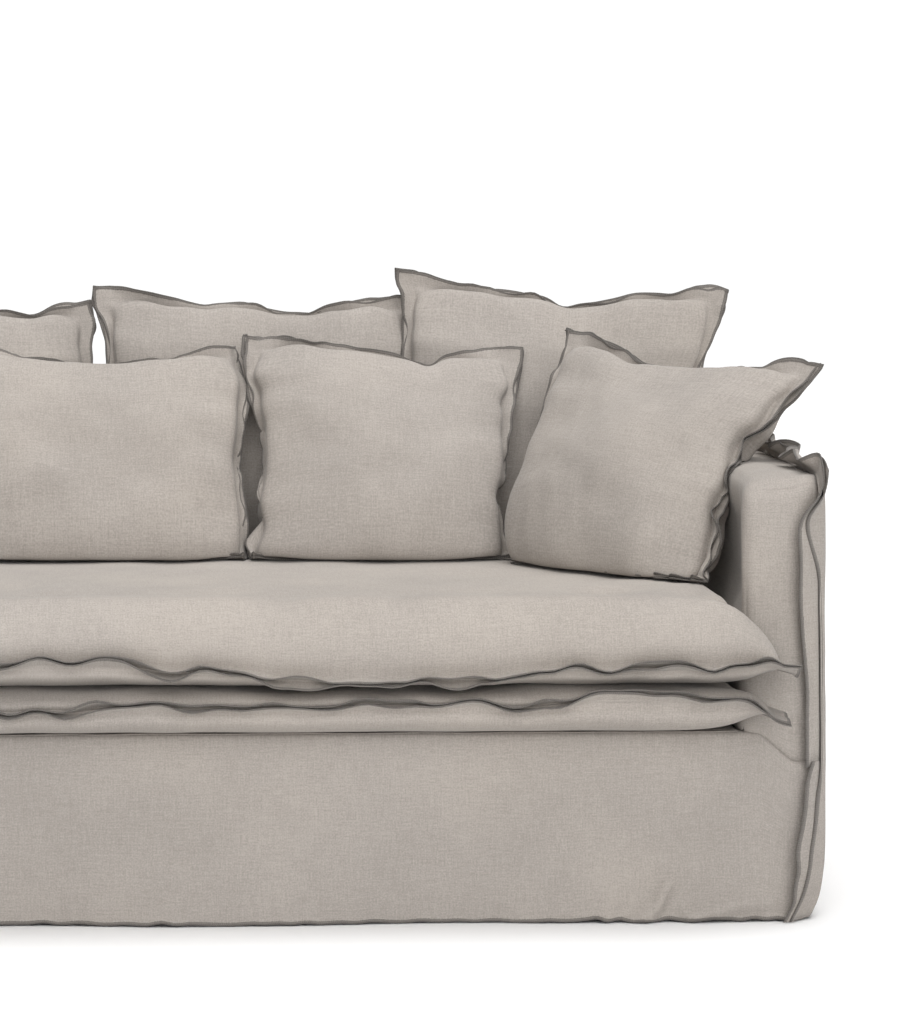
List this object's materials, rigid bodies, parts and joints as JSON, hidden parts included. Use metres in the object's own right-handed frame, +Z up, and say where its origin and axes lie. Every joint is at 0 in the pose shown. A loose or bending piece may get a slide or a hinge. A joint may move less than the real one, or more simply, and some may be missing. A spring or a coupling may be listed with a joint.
{
  "type": "sofa slipcover",
  "caption": "Loose linen slipcover for a box-armed sofa, hollow inside, with outside seam flanges, stacked seat mattresses, back cushions and scatter pillows.",
  "frame": {"origin": "middle of the sofa's seat platform, on the underside of the cover's seat deck panel, where the cover lies on the sofa", "axes": "+Z up, +X to the right of somebody facing the sofa's front, -Y out of the front"},
  "size_m": [2.1046, 1.1287, 0.8889],
  "materials": {
    "linen_cover": "washed greige linen, matt, with dark overlocked edges",
    "linen_mattress": "washed greige linen, matt, with dark overlocked edges",
    "linen_cushion": "washed greige linen, matt, with dark overlocked edges"
  },
  "bodies": {
    "root": {"skirt_front": "linen_cover", "arm_inner_R": "linen_cover", "arm_inner_L": "linen_cover", "arm_outer_R": "linen_cover", "arm_outer_L": "linen_cover", "back_inner": "linen_cover", "back_outer": "linen_cover", "deck": "linen_cover", "mattress_lower": "linen_mattress", "mattress_upper": "linen_mattress", "back_cushion_1": "linen_cushion", "back_cushion_2": "linen_cushion", "back_cushion_3": "linen_cushion", "back_cushion_4": "linen_cushion", "pillow_1": "linen_cushion", "pillow_2": "linen_cushion", "pillow_3": "linen_cushion", "pillow_4": "linen_cushion", "pillow_5": "linen_cushion"}
  },
  "joints": []
}
